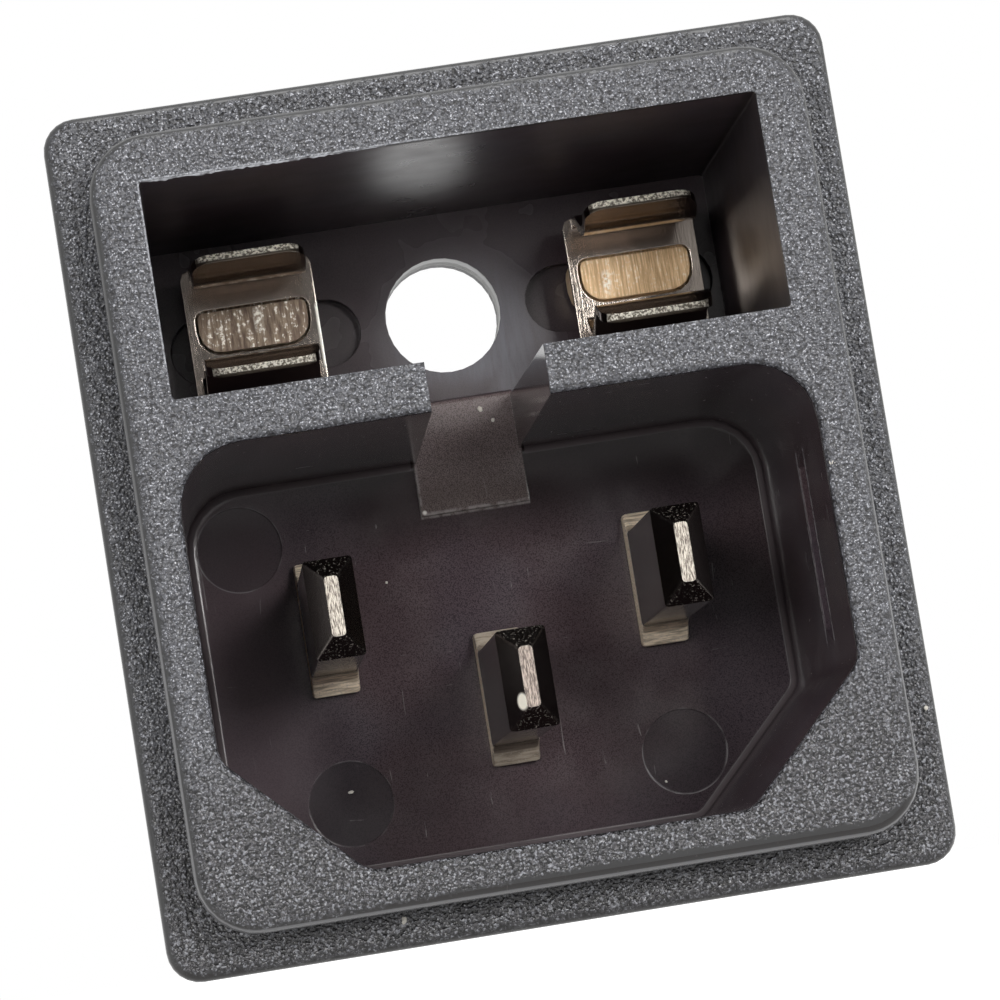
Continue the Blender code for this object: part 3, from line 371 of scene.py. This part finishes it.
def housing_plastic():
    """Black moulding: eroded grain on the two front faces, blasted outside, polished in the cavities."""
    g = Graph("housing_plastic")
    outside = g.ramp(g.y, 0.02, -0.02)
    on_flange = g.ramp(g.y, -2.1, -1.9)
    ragged = g.noise(3.0, 2.0, 0.6)
    drift = g.noise(0.5, 2.0, 0.5)
    mottle = g.ramp(g.noise(24.0, 1.0, 0.7), 0.32, 0.68)
    steep_x = g.math("ABSOLUTE", g.normal_x)
    steep_y = g.math("ABSOLUTE", g.normal_y)
    away_x = g.math("ABSOLUTE", g.x)

    # Where the cavities are, and the body's outside
    depth = g.times(
        g.ramp(g.y, FRONT_MM + 0.1, FRONT_MM + 0.5), g.ramp(g.y, FUSE_WALL_MM + 1.2, FUSE_WALL_MM + 0.9))
    lower_corner = g.times(g.ramp(g.normal_z, -0.30, -0.50), g.ramp(steep_x, 0.3, 0.5), g.ramp(g.z, -5.0, -6.0))
    within_x = g.band(g.x, 0.0, CAVITIES_HALF_X, 0.1)
    within_z = g.band(g.z, 0.0, CAVITIES_HALF_Z, 0.05)
    within_walls = g.times(within_x, within_z, g.inverse(lower_corner))
    inside = g.times(depth, within_walls)
    body = g.times(g.inverse(inside), g.ramp(g.y, 0.02, 0.10))
    upper = g.ramp(g.z, 3.7, 4.6)

    # Polished faces: slight waves of the steel, hairline scratches and dull flow marks
    waves = g.noise(0.30, 1.0, 0.5)
    steep_lines = g.noise(1.0, 2.0, 0.6, g.stretched((6.0, 3.0, 0.5), (0.0, 0.9, 0.0)), 0.6)
    flat_lines = g.noise(1.0, 2.0, 0.6, g.stretched((0.45, 3.0, 7.0), (0.0, -0.35, 0.2)), 0.8)
    scratches = g.math("MAXIMUM", g.ramp(steep_lines, 0.72, 0.76), g.ramp(flat_lines, 0.73, 0.77))
    scratches = g.times(scratches, g.ramp(g.z, 3.7, 3.2))

    body_colour, body_roughness, body_height = body_finish(g, body, drift)
    rim = g.mix(drift, (0.022, 0.022, 0.023), (0.030, 0.030, 0.031))
    # Painted shade: the rims are darker where they face down
    rim = g.mix(g.ramp(g.normal_z, -0.15, -0.5), rim, (0.008, 0.006, 0.006))
    smooth = g.mix(inside, g.mix(body, rim, body_colour), polished_tone(g, drift, mottle))

    # Fuse compartment: painted shade on the right wall, a streaky ring of painted light round the hole, painted
    # shade on the back wall away from it and in the recesses
    painted_shade_right_wall = g.times(inside, upper, g.ramp(g.x, 11.6, 11.9))
    wall = g.times(g.band(g.y, FUSE_WALL_MM, 0.15, 0.15), upper, within_walls)
    shaded = g.math("MAXIMUM", g.ramp(g.z, 5.6, 6.8), g.ramp(g.x, 1.2, 2.2))
    painted_light_halo = g.times(wall, g.ball((0.9, FUSE_WALL_MM, 7.9), 1.4, 3.6), g.blend(shaded, 0.25, 1.0))
    streaks = g.noise(1.0, 3.0, 0.6, g.stretched((5.0, 1.0, 0.6), (0.0, 0.5, 0.0)))
    painted_shade_recess = g.times(
        g.ramp(g.y, FUSE_WALL_MM + 0.25, FUSE_WALL_MM + 0.45), g.ramp(g.y, 15.3, 15.2), upper, within_walls)
    smooth = g.mix(g.times(painted_shade_right_wall, 0.75), smooth, (0.014, 0.010, 0.011))
    smooth = g.mix(g.times(painted_light_halo, g.ramp(streaks, 0.25, 0.75, 0.45, 0.9)), smooth, (0.105, 0.107, 0.130))
    smooth = g.mix(g.times(wall, g.inverse(painted_light_halo), 0.65), smooth, (0.027, 0.017, 0.021))
    smooth = g.mix(g.times(painted_shade_recess, 0.6), smooth, (0.030, 0.024, 0.026))
    smooth = g.mix(g.times(scratches, 0.16), smooth, (0.22, 0.20, 0.20))

    # Radius at the inlet's floor, cheeks of the slot and bore of the hole: painted shade in the radius and on
    # the cheeks, painted light across the radius's middle and at its top, painted light in the bore
    beside_pad = g.math("MAXIMUM", g.ramp(g.z, 0.5, 0.4), g.ramp(away_x, 2.4, 2.5))
    corner = g.times(inside, g.band(g.y, FLOOR_MM - 0.17, 0.15, 0.02), g.ramp(g.z, 3.4, 3.2), beside_pad)
    painted_light_corner_middle = g.times(corner, g.band(steep_y, 0.66, 0.25, 0.15))
    painted_light_corner_top = g.times(corner, g.ramp(g.z, 2.3, 2.7))
    cheek = g.times(g.band(g.x, 0.0, 2.5, 0.05), g.ramp(steep_x, 0.6, 0.9), g.band(g.z, 4.7, 1.2, 0.1))
    behind_wall = g.ramp(g.y, FUSE_WALL_MM + 0.02, FUSE_WALL_MM + 0.10)
    painted_light_bore = g.times(behind_wall, g.ball((0.0, FUSE_WALL_MM + 0.9, 9.15), 2.60, 0.1))
    smooth = g.mix(g.times(corner, 0.5), smooth, (0.026, 0.020, 0.022))
    smooth = g.mix(g.times(painted_light_corner_middle, 0.8), smooth, (0.075, 0.060, 0.066))
    smooth = g.mix(g.times(painted_light_corner_top, 0.8), smooth, (0.085, 0.070, 0.075))
    smooth = g.mix(cheek, smooth, (0.008, 0.006, 0.006))
    smooth = g.mix(painted_light_bore, smooth, (0.34, 0.345, 0.335))
    smooth = ejector_marks(g, pad_painted_light(g, smooth, mottle, ragged))

    grained = grain_mask(g, outside, on_flange, ragged)
    grain_colour, grain_roughness, grain_height = front_grain(g, on_flange)
    colour = painted_highlight_lines(g, g.mix(grained, smooth, grain_colour), outside, on_flange, ragged)

    # The compartment's walls and ceiling are duller than its back, most of all away from the hole
    sides = g.times(upper, g.ramp(steep_y, 0.8, 0.4), g.ramp(away_x, 1.5, 5.0, 0.04, 0.22))
    polished = g.plus(
        g.blend(g.ramp(drift, 0.35, 0.75), 0.13, 0.19), g.times(scratches, 0.15), g.times(painted_light_halo, 0.20),
        g.times(upper, 0.10), sides)
    rounding = g.times(outside, g.ramp(g.normal_y, -0.02, -0.10))
    unpolished = g.blend(body, g.blend(rounding, 0.46, 0.25), body_roughness)
    polished = g.blend(inside, unpolished, polished)
    polished = g.blend(corner, g.blend(cheek, polished, 0.14), 0.70)
    roughness = g.blend(grained, polished, grain_roughness)

    smooth_height = g.plus(g.times(waves, 0.5), g.times(scratches, -0.02), body_height)
    height = g.blend(grained, smooth_height, grain_height)
    rounded = g.add("ShaderNodeBevel", samples=4)
    rounded.inputs["Radius"].default_value = 0.00006
    return g.finish(colour, roughness, g.bump(height, 0.000030, rounded.outputs[0]))


def edge_wear_and_highlight(g, radius):
    """Normal with the edges rounded off by a radius, and how near a surface is to such an edge, where callers
    paint a lighter colour for wear and as painted highlight.
    """
    rounded = g.add("ShaderNodeBevel", samples=6)
    rounded.inputs["Radius"].default_value = radius
    straight = g.add("ShaderNodeVectorMath", operation="DOT_PRODUCT")
    g.link(rounded.outputs[0], straight.inputs[0])
    g.link(g.add("ShaderNodeNewGeometry").outputs["Normal"], straight.inputs[1])
    return rounded.outputs[0], g.ramp(straight.outputs["Value"], 0.985, 0.90)


def pin_nickel():
    """Nickel-plated pins: tips scuffed by plugs, faces with faint lengthwise lines, shoulders sheared; tips and
    chamfers painted darker as shade, a painted highlight on one chamfer, edges lighter for wear and painted
    highlight.
    """
    g = Graph("pin_nickel")
    rounded, edge = edge_wear_and_highlight(g, 0.00006)
    tip = g.ramp(g.normal_y, -0.80, -0.97)
    chamfer = g.times(g.ramp(g.normal_y, -0.15, -0.30), g.inverse(tip))
    near_floor = g.ramp(g.y, FLOOR_MM - 1.65, FLOOR_MM - 1.45)
    lines = g.noise(1.0, 3.0, 0.6, g.stretched((16.0, 0.8, 16.0)))
    scuffs = g.noise(1.0, 3.0, 0.7, g.stretched((22.0, 6.0, 3.0), (0.0, 0.3, 0.0)))
    chatter = g.noise(1.0, 2.0, 0.6, g.stretched((1.0, 8.0, 9.0)))
    blotches = g.noise(1.6, 3.0, 0.6)
    nicks = g.ramp(g.noise(10.0, 3.0, 0.7), 0.56, 0.66)
    ends = g.ramp(g.math("ABSOLUTE", g.normal_z), 0.20, 0.40)
    # Lighter where scuffed, nicked and near edges; near edges this is wear and painted highlight
    worn = g.math(
        "MAXIMUM", g.times(tip, g.ramp(scuffs, 0.40, 0.62)), g.times(edge, g.ramp(blotches, 0.40, 0.6), 0.7))
    worn = g.math("MAXIMUM", worn, g.times(chamfer, ends, nicks, 0.6))
    base = g.mix(blotches, (0.15, 0.13, 0.12), (0.24, 0.22, 0.20))
    sheared = g.mix(g.ramp(chatter, 0.30, 0.62), (0.42, 0.34, 0.25), (1.0, 0.86, 0.68))
    warm = g.mix(near_floor, base, sheared)
    blade = g.inverse(g.times(near_floor, g.ramp(g.math("ABSOLUTE", g.x), 3.0, 4.0)))
    # Painted shade: the chamfers and tips darker
    warm = g.mix(g.times(chamfer, blade, 0.6), warm, (0.10, 0.085, 0.08))
    warm = g.mix(g.times(tip, g.blend(blade, 0.4, 1.0)), warm, (0.12, 0.10, 0.09))
    lower_pin = g.ramp(g.math("ABSOLUTE", g.x), 3.0, 2.0)
    scuffed = g.mix(lower_pin, (0.60, 0.56, 0.49), (0.40, 0.34, 0.30))
    colour = g.mix(worn, warm, g.mix(chamfer, scuffed, (0.50, 0.46, 0.41)))
    # Painted highlight: a bright spot on the earth pin's chamfer
    painted_highlight_spot = g.times(g.ball((-0.42, -1.38, -8.28), 0.26, 0.16), chamfer)
    colour = g.mix(painted_highlight_spot, colour, (1.0, 0.96, 0.84))
    matt = g.math("MAXIMUM", painted_highlight_spot, g.times(chamfer, ends, nicks, 0.5))
    matt = g.math("MAXIMUM", g.times(near_floor, 0.75), matt)
    roughness = g.plus(g.blend(g.math("MAXIMUM", tip, near_floor), 0.18, 0.50), g.times(lines, 0.10))
    height = g.plus(
        g.times(lines, 0.5),
        g.times(g.blend(tip, 0.15, 1.0), scuffs),
        g.times(near_floor, chatter, 1.5),
    )
    return g.finish(colour, roughness, g.bump(height, 0.000012, rounded), g.inverse(matt))


def clip_nickel():
    """Pale gold nickel of the fuse clips, with drawing lines and bright sheared ends; sides painted darker as
    shade, a painted highlight line on one rail, edges lighter for wear and painted highlight.
    """
    g = Graph("clip_nickel")
    rounded, edge = edge_wear_and_highlight(g, 0.00007)
    sheared = g.times(g.ramp(g.y, LIP_MM + 0.55, LIP_MM + 0.35), g.ramp(g.normal_y, -0.55, -0.80))
    rolled = g.noise(1.0, 3.0, 0.6, g.stretched((14.0, 1.0, 1.0)))
    patches = g.noise(1.3, 3.0, 0.6)
    torn = g.noise(9.0, 2.0, 0.6)
    spots = g.ramp(g.noise(7.0, 2.0, 0.6), 0.62, 0.70)
    base = g.mix(patches, (0.42, 0.365, 0.325), (0.54, 0.48, 0.43))
    colour = g.mix(g.times(spots, 0.25), base, (0.30, 0.25, 0.20))
    # Lighter near edges: wear and painted highlight
    colour = g.mix(g.times(edge, 0.5), colour, (0.88, 0.84, 0.76))
    # Painted shade: the clips' sides, facing along x, darker
    painted_side_shade = g.ramp(g.math("ABSOLUTE", g.normal_x), 0.35, 0.70)
    colour = g.mix(g.times(painted_side_shade, 0.8), colour, (0.11, 0.085, 0.075))
    # The load clip sits 0.2 mm lower; the upper part of each sheared end is torn bright
    rise = g.plus(g.z, g.ramp(g.x, -1.0, 1.0, 0.0, 0.2))
    torn_ends = g.math("MAXIMUM", g.ramp(rise, 11.60, 11.68), g.band(rise, 7.12, 0.12, 0.05))
    torn_band = g.times(sheared, torn_ends)
    colour = g.mix(sheared, colour, (0.12, 0.10, 0.08))
    speckled = g.mix(g.ramp(torn, 0.40, 0.60), (0.16, 0.14, 0.11), (0.95, 0.91, 0.80))
    colour = g.mix(torn_band, colour, speckled)
    # Painted highlight: a bright line down the left clip's right rail
    painted_highlight_streak = g.times(g.band(g.x, -5.38, 0.06, 0.06), g.band(g.z, 8.7, 1.2, 0.3), g.ramp(g.y, 10.9, 10.7))
    colour = g.mix(painted_highlight_streak, colour, (1.0, 0.98, 0.90))
    metallic = g.inverse(g.times(g.math("MAXIMUM", torn_band, painted_highlight_streak), 0.7))
    roughness = g.plus(g.blend(sheared, 0.13, 0.46), g.times(patches, 0.08))
    height = g.plus(g.times(rolled, 0.5), g.times(sheared, torn, 3.0))
    return g.finish(colour, roughness, g.bump(height, 0.000010, rounded), metallic)


def cut_brass(name, dark, light, bright, lines_scale, spark, glint):
    """The sawn end of a stud, with the marks of the cut on its face, light specks of painted sparkle, and a
    brighter place painted as a glint.
    """
    g = Graph(name)
    rounded, edge = edge_wear_and_highlight(g, 0.00008)
    face = g.ramp(g.normal_y, -0.80, -0.97)
    lines = g.noise(1.0, 3.0, 0.65, g.stretched(lines_scale))
    nicks = g.noise(6.0, 3.0, 0.65)
    # Painted sparkle: bright specks along the cut marks
    painted_sparkle = g.ramp(g.times(nicks, lines), 0.29, 0.37)
    # Painted highlight: a brighter place where the face would glint
    painted_glint_spot = g.times(
        g.band(g.x, glint[0], 0.08, 0.16), g.band(g.z, glint[1], 0.25, 0.35), g.ramp(nicks, 0.35, 0.6))
    colour = g.mix(g.ramp(lines, 0.30, 0.70), dark, light)
    colour = g.mix(g.times(g.math("MAXIMUM", g.times(painted_sparkle, spark), painted_glint_spot), face), colour, bright)
    colour = g.mix(face, light, colour)
    # Lighter near edges: wear and painted highlight
    colour = g.mix(g.times(edge, 0.5), colour, light)
    roughness = g.blend(face, 0.30, g.blend(painted_sparkle, 0.50, 0.30))
    height = g.plus(lines, g.times(nicks, 0.6))
    return g.finish(colour, roughness, g.bump(height, 0.000016, rounded), 0.35)


def tab_tin():
    """Tinned strips at the rear: soft grey-white with rolling lines and handling marks."""
    g = Graph("tab_tin")
    rounded, edge = edge_wear_and_highlight(g, 0.00008)
    rolled = g.noise(1.0, 3.0, 0.6, g.stretched((12.0, 0.7, 12.0)))
    patches = g.noise(0.8, 3.0, 0.6)
    marks = g.ramp(g.noise(1.0, 3.0, 0.65, g.stretched((3.0, 9.0, 1.5), (0.4, 0.0, 0.3))), 0.60, 0.70)
    base = g.mix(patches, (0.58, 0.56, 0.52), (0.74, 0.72, 0.68))
    colour = g.mix(g.times(marks, 0.4), base, (0.88, 0.86, 0.83))
    # Lighter near edges: wear and painted highlight
    colour = g.mix(g.times(edge, 0.5), colour, (0.92, 0.90, 0.86))
    roughness = g.plus(0.26, g.times(patches, 0.16), g.times(marks, -0.05))
    height = g.plus(g.times(rolled, 0.6), g.times(marks, 0.4))
    return g.finish(colour, roughness, g.bump(height, 0.000012, rounded), 1.0)


def dust_material():
    g = Graph("dust_specks")
    tone = g.noise(3.0, 2.0, 0.6)
    colour = g.mix(tone, (0.42, 0.38, 0.33), (0.85, 0.83, 0.78))
    return g.finish(colour, g.plus(0.75, g.times(tone, 0.2)), g.bump(g.noise(30.0, 2.0, 0.6), 0.00001))


def smooth_edges():
    """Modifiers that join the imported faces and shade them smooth, but for edges over SHARP_DEGREES."""
    tree = bpy.data.node_groups.new("smooth_edges", "GeometryNodeTree")
    tree.interface.new_socket("Geometry", in_out="INPUT", socket_type="NodeSocketGeometry")
    tree.interface.new_socket("Geometry", in_out="OUTPUT", socket_type="NodeSocketGeometry")
    start = tree.nodes.new("NodeGroupInput")
    end = tree.nodes.new("NodeGroupOutput")
    joined = tree.nodes.new("GeometryNodeMergeByDistance")
    joined.inputs["Distance"].default_value = JOIN_DISTANCE
    angle = tree.nodes.new("GeometryNodeInputMeshEdgeAngle")
    sharp = tree.nodes.new("FunctionNodeCompare")
    sharp.operation = "GREATER_THAN"
    sharp.inputs[1].default_value = math.radians(SHARP_DEGREES)
    faces = tree.nodes.new("GeometryNodeSetShadeSmooth")
    faces.domain = "FACE"
    edges = tree.nodes.new("GeometryNodeSetShadeSmooth")
    edges.domain = "EDGE"
    edges.inputs["Shade Smooth"].default_value = False
    tree.links.new(start.outputs[0], joined.inputs[0])
    tree.links.new(joined.outputs[0], faces.inputs[0])
    tree.links.new(faces.outputs[0], edges.inputs[0])
    tree.links.new(angle.outputs["Unsigned Angle"], sharp.inputs[0])
    tree.links.new(sharp.outputs[0], edges.inputs["Selection"])
    tree.links.new(edges.outputs[0], end.inputs[0])
    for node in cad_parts.values():
        node.modifiers.new("smooth_edges", "NODES").node_group = tree
        weighted = node.modifiers.new("flat_faces_stay_flat", "WEIGHTED_NORMAL")
        weighted.mode = "FACE_AREA_WITH_ANGLE"
        weighted.keep_sharp = True


def set_material(names, material):
    for name in names:
        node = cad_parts[name]
        if not node.material_slots:
            node.data.materials.append(material)
        for slot in node.material_slots:
            slot.material = material


# Specks of dust: x, z, the plane they lie on and half their width in millimetres, and their length over width
DUST = [
    (0.84, 4.83, FLOOR_MM - 0.2, 0.10, 1.3),
    (1.31, 4.29, FLOOR_MM - 0.2, 0.08, 1.0),
    (12.78, -1.20, FRONT_MM + 0.06, 0.16, 1.5),
    (12.82, -1.42, FRONT_MM + 0.06, 0.10, 1.0),
    (-8.85, 14.30, FRONT_MM + 0.05, 0.10, 1.2),
    (-7.05, -10.26, FLOOR_MM, 0.06, 2.2),
    (-4.2, -1.8, FLOOR_MM, 0.06, 1.0),
    (6.1, -11.9, FLOOR_MM, 0.05, 1.2),
    (-6.32, -15.95, FLANGE_MM, 0.10, 1.5),
    (15.15, -11.01, FLANGE_MM, 0.09, 1.1),
]

# Flash on the fuse opening's upper edge: where it starts, and its steps to the right
FLASH_START_MM = -12.05
FLASH_STEP_MM = 0.06
FLASH_STEPS = 160


def build_dust():
    """Small irregular specks, each flattened on the face it lies on."""
    source = random.Random(7)
    mesh = bmesh.new()
    for x, z, plane, size, length in DUST:
        made = bmesh.ops.create_icosphere(mesh, subdivisions=2, radius=1.0)
        turn = Matrix.Rotation(source.uniform(0, math.pi), 3, "Y")
        seed = Vector((source.uniform(0, 90), source.uniform(0, 90), source.uniform(0, 90)))
        for vertex in made["verts"]:
            lump = 1.0 + 0.45 * noise.noise(vertex.co * 1.7 + seed)
            shape = Vector((vertex.co.x * length, vertex.co.y * 0.35, vertex.co.z)) * lump
            vertex.co = (turn @ shape * size + Vector((x, plane, z))) / MM
    data = bpy.data.meshes.new("dust")
    mesh.to_mesh(data)
    mesh.free()
    data.shade_smooth()
    dust = bpy.data.objects.new("dust", data)
    bpy.context.scene.collection.objects.link(dust)
    data.materials.append(dust_material())
    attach(dust, "root")


def build_flash():
    """Thin ragged flash left by the mould along the upper edge of the fuse opening, fading out to the right."""
    mesh = bmesh.new()
    rings = []
    for step in range(FLASH_STEPS + 1):
        x = FLASH_START_MM + step * FLASH_STEP_MM
        fade = min(1.0, step / 6, (FLASH_STEPS - step) / 50)
        wave = noise.noise(Vector((x * 1.3, 4.0, 0.0)))
        ripple = noise.noise(Vector((x * 5.0, 9.0, 0.0)))
        reach = 0.02 + 0.085 * fade * max(0.0, 0.6 + wave + 0.7 * ripple)
        section = ((0.03, 0.0), (0.0, -0.022), (-reach, -0.008), (-reach * 0.9, 0.02))
        rings.append([
            mesh.verts.new(Vector((x, FRONT_MM + 0.035 + along, OPENING_TOP_MM + rise)) / MM)
            for rise, along in section
        ])
    for first, second in zip(rings, rings[1:]):
        for corner in range(4):
            other = (corner + 1) % 4
            mesh.faces.new((first[corner], first[other], second[other], second[corner]))
    mesh.faces.new(rings[0])
    mesh.faces.new(reversed(rings[-1]))
    bmesh.ops.recalc_face_normals(mesh, faces=mesh.faces)
    data = bpy.data.meshes.new("moulding_flash")
    mesh.to_mesh(data)
    mesh.free()
    data.shade_smooth()
    flash = bpy.data.objects.new("moulding_flash", data)
    bpy.context.scene.collection.objects.link(flash)
    g = Graph("moulding_flash")
    tone = g.noise(2.5, 2.0, 0.6)
    # Painted highlight: the flash is coloured light grey, far lighter than the black moulding
    colour = g.mix(g.ramp(tone, 0.35, 0.65), (0.10, 0.10, 0.11), (0.34, 0.35, 0.38))
    data.materials.append(g.finish(colour, g.plus(0.3, g.times(tone, 0.3)), g.bump(g.noise(12.0), 0.00001)))
    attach(flash, "root")


def build_floor():
    """Pale floor under the flange's lower edge; it shows white around the object and keeps its shadow."""
    mesh = bmesh.new()
    bmesh.ops.create_grid(mesh, x_segments=1, y_segments=1, size=FLOOR_HALF_SIZE)
    data = bpy.data.meshes.new("floor")
    mesh.to_mesh(data)
    mesh.free()
    floor = bpy.data.objects.new("floor", data)
    floor.location = (0.0, 0.0, CAD_LOW.z)
    bpy.context.scene.collection.objects.link(floor)
    material = bpy.data.materials.new("floor_white")
    material.use_nodes = True
    tree = material.node_tree
    tree.nodes.clear()
    diffuse = tree.nodes.new("ShaderNodeBsdfDiffuse")
    diffuse.inputs["Color"].default_value = (FLOOR_GREY, FLOOR_GREY, FLOOR_GREY, 1.0)
    white = tree.nodes.new("ShaderNodeEmission")
    share = tree.nodes.new("ShaderNodeMath")
    share.operation = "MULTIPLY"
    share.inputs[1].default_value = FLOOR_GLOW
    mixed = tree.nodes.new("ShaderNodeAddShader")
    output = tree.nodes.new("ShaderNodeOutputMaterial")
    place = tree.nodes.new("ShaderNodeSeparateXYZ")
    tree.links.new(tree.nodes.new("ShaderNodeTexCoord").outputs["Object"], place.inputs[0])
    behind = tree.nodes.new("ShaderNodeMapRange")
    tree.links.new(place.outputs["Y"], behind.inputs["Value"])
    for name, number in (
            ("From Min", FLOOR_DIM_FRONT), ("From Max", 0.0), ("To Min", FLOOR_DIM), ("To Max", 1.0)):
        behind.inputs[name].default_value = number
    path = tree.nodes.new("ShaderNodeLightPath")
    for_camera = tree.nodes.new("ShaderNodeMath")
    for_camera.operation = "MAXIMUM"
    tree.links.new(behind.outputs["Result"], for_camera.inputs[0])
    tree.links.new(path.outputs["Is Camera Ray"], for_camera.inputs[1])
    lit = tree.nodes.new("ShaderNodeMath")
    lit.operation = "MULTIPLY"
    tree.links.new(seen_directly(tree), lit.inputs[0])
    tree.links.new(for_camera.outputs[0], lit.inputs[1])
    tree.links.new(lit.outputs[0], share.inputs[0])
    tree.links.new(share.outputs[0], white.inputs["Strength"])
    tree.links.new(diffuse.outputs[0], mixed.inputs[0])
    tree.links.new(white.outputs[0], mixed.inputs[1])
    tree.links.new(mixed.outputs[0], output.inputs["Surface"])
    data.materials.append(material)


def seen_directly(tree):
    """1 for camera, glossy and transmission rays, 0 for the light that reaches matt surfaces."""
    path = tree.nodes.new("ShaderNodeLightPath")
    result = path.outputs["Is Camera Ray"]
    for name in ("Is Glossy Ray", "Is Transmission Ray"):
        larger = tree.nodes.new("ShaderNodeMath")
        larger.operation = "MAXIMUM"
        tree.links.new(result, larger.inputs[0])
        tree.links.new(path.outputs[name], larger.inputs[1])
        result = larger.outputs[0]
    return result


def build_world():
    """White round the camera's view, white with a dark side in front in reflections, dim on matt surfaces."""
    world = bpy.data.worlds.new("studio")
    world.use_nodes = True
    tree = world.node_tree
    background = tree.nodes["Background"]
    background.inputs["Color"].default_value = (1.0, 1.0, 1.0, 1.0)
    direction = tree.nodes.new("ShaderNodeSeparateXYZ")
    tree.links.new(tree.nodes.new("ShaderNodeTexCoord").outputs["Generated"], direction.inputs[0])
    reflected = tree.nodes.new("ShaderNodeMapRange")
    reflected.interpolation_type = "SMOOTHSTEP"
    tree.links.new(direction.outputs["Y"], reflected.inputs["Value"])
    for name, number in (
            ("From Min", DARK_SIDE_FULL), ("From Max", DARK_SIDE_END), ("To Min", DARK_SIDE), ("To Max", 1.0)):
        reflected.inputs[name].default_value = number
    path = tree.nodes.new("ShaderNodeLightPath")
    for_camera = tree.nodes.new("ShaderNodeMath")
    for_camera.operation = "MAXIMUM"
    tree.links.new(reflected.outputs["Result"], for_camera.inputs[0])
    tree.links.new(path.outputs["Is Camera Ray"], for_camera.inputs[1])
    strength = tree.nodes.new("ShaderNodeMapRange")
    strength.clamp = False
    tree.links.new(seen_directly(tree), strength.inputs["Value"])
    strength.inputs["To Min"].default_value = AMBIENT
    tree.links.new(for_camera.outputs[0], strength.inputs["To Max"])
    tree.links.new(strength.outputs["Result"], background.inputs["Strength"])
    bpy.context.scene.world = world


def build_lamps():
    for name, (place, size, power, colour) in LAMPS.items():
        data = bpy.data.lights.new(name, "AREA")
        data.shape = "SQUARE"
        data.size = size
        data.energy = power
        data.color = colour
        lamp = bpy.data.objects.new(name, data)
        lamp.location = place
        lamp.rotation_euler = (-Vector(place)).to_track_quat("-Z", "Y").to_euler()
        bpy.context.scene.collection.objects.link(lamp)


def build_camera():
    data = bpy.data.cameras.new("camera")
    data.sensor_width = CAMERA_SENSOR
    data.lens = CAMERA_LENS
    data.clip_start = 0.01
    camera = bpy.data.objects.new("camera", data)
    back = CAMERA_RIGHT.cross(CAMERA_UP).normalized()
    up = back.cross(CAMERA_RIGHT).normalized()
    right = up.cross(back)
    turn = Matrix((right, up, back)).transposed()
    camera.matrix_world = Matrix.Translation(CAMERA_PLACE) @ turn.to_4x4()
    bpy.context.scene.collection.objects.link(camera)
    bpy.context.scene.camera = camera


def main():
    smooth_edges()
    set_material(["housing"], housing_plastic())
    set_material(["line_pin", "neutral_pin", "earth_pin"], pin_nickel())
    set_material(["line_fuse_clip", "load_fuse_clip"], clip_nickel())
    set_material(["line_clip_stud"], cut_brass(
        "stud_brass", dark=(0.12, 0.078, 0.055), light=(0.34, 0.26, 0.185), bright=(1.0, 0.96, 0.88),
        lines_scale=(6.0, 1.0, 0.9), spark=0.8, glint=(-7.88, 9.75)))
    set_material(["load_clip_stud"], cut_brass(
        "stud_copper", dark=(0.56, 0.36, 0.185), light=(0.95, 0.68, 0.40), bright=(1.0, 0.93, 0.82),
        lines_scale=(12.0, 1.0, 0.8), spark=0.5, glint=(6.82, 9.1)))
    set_material(["line_link", "neutral_tab", "earth_tab", "load_tab"], tab_tin())
    build_dust()
    build_flash()
    build_floor()
    build_world()
    build_lamps()
    build_camera()
    bpy.context.scene.view_settings.view_transform = "Standard"


main()
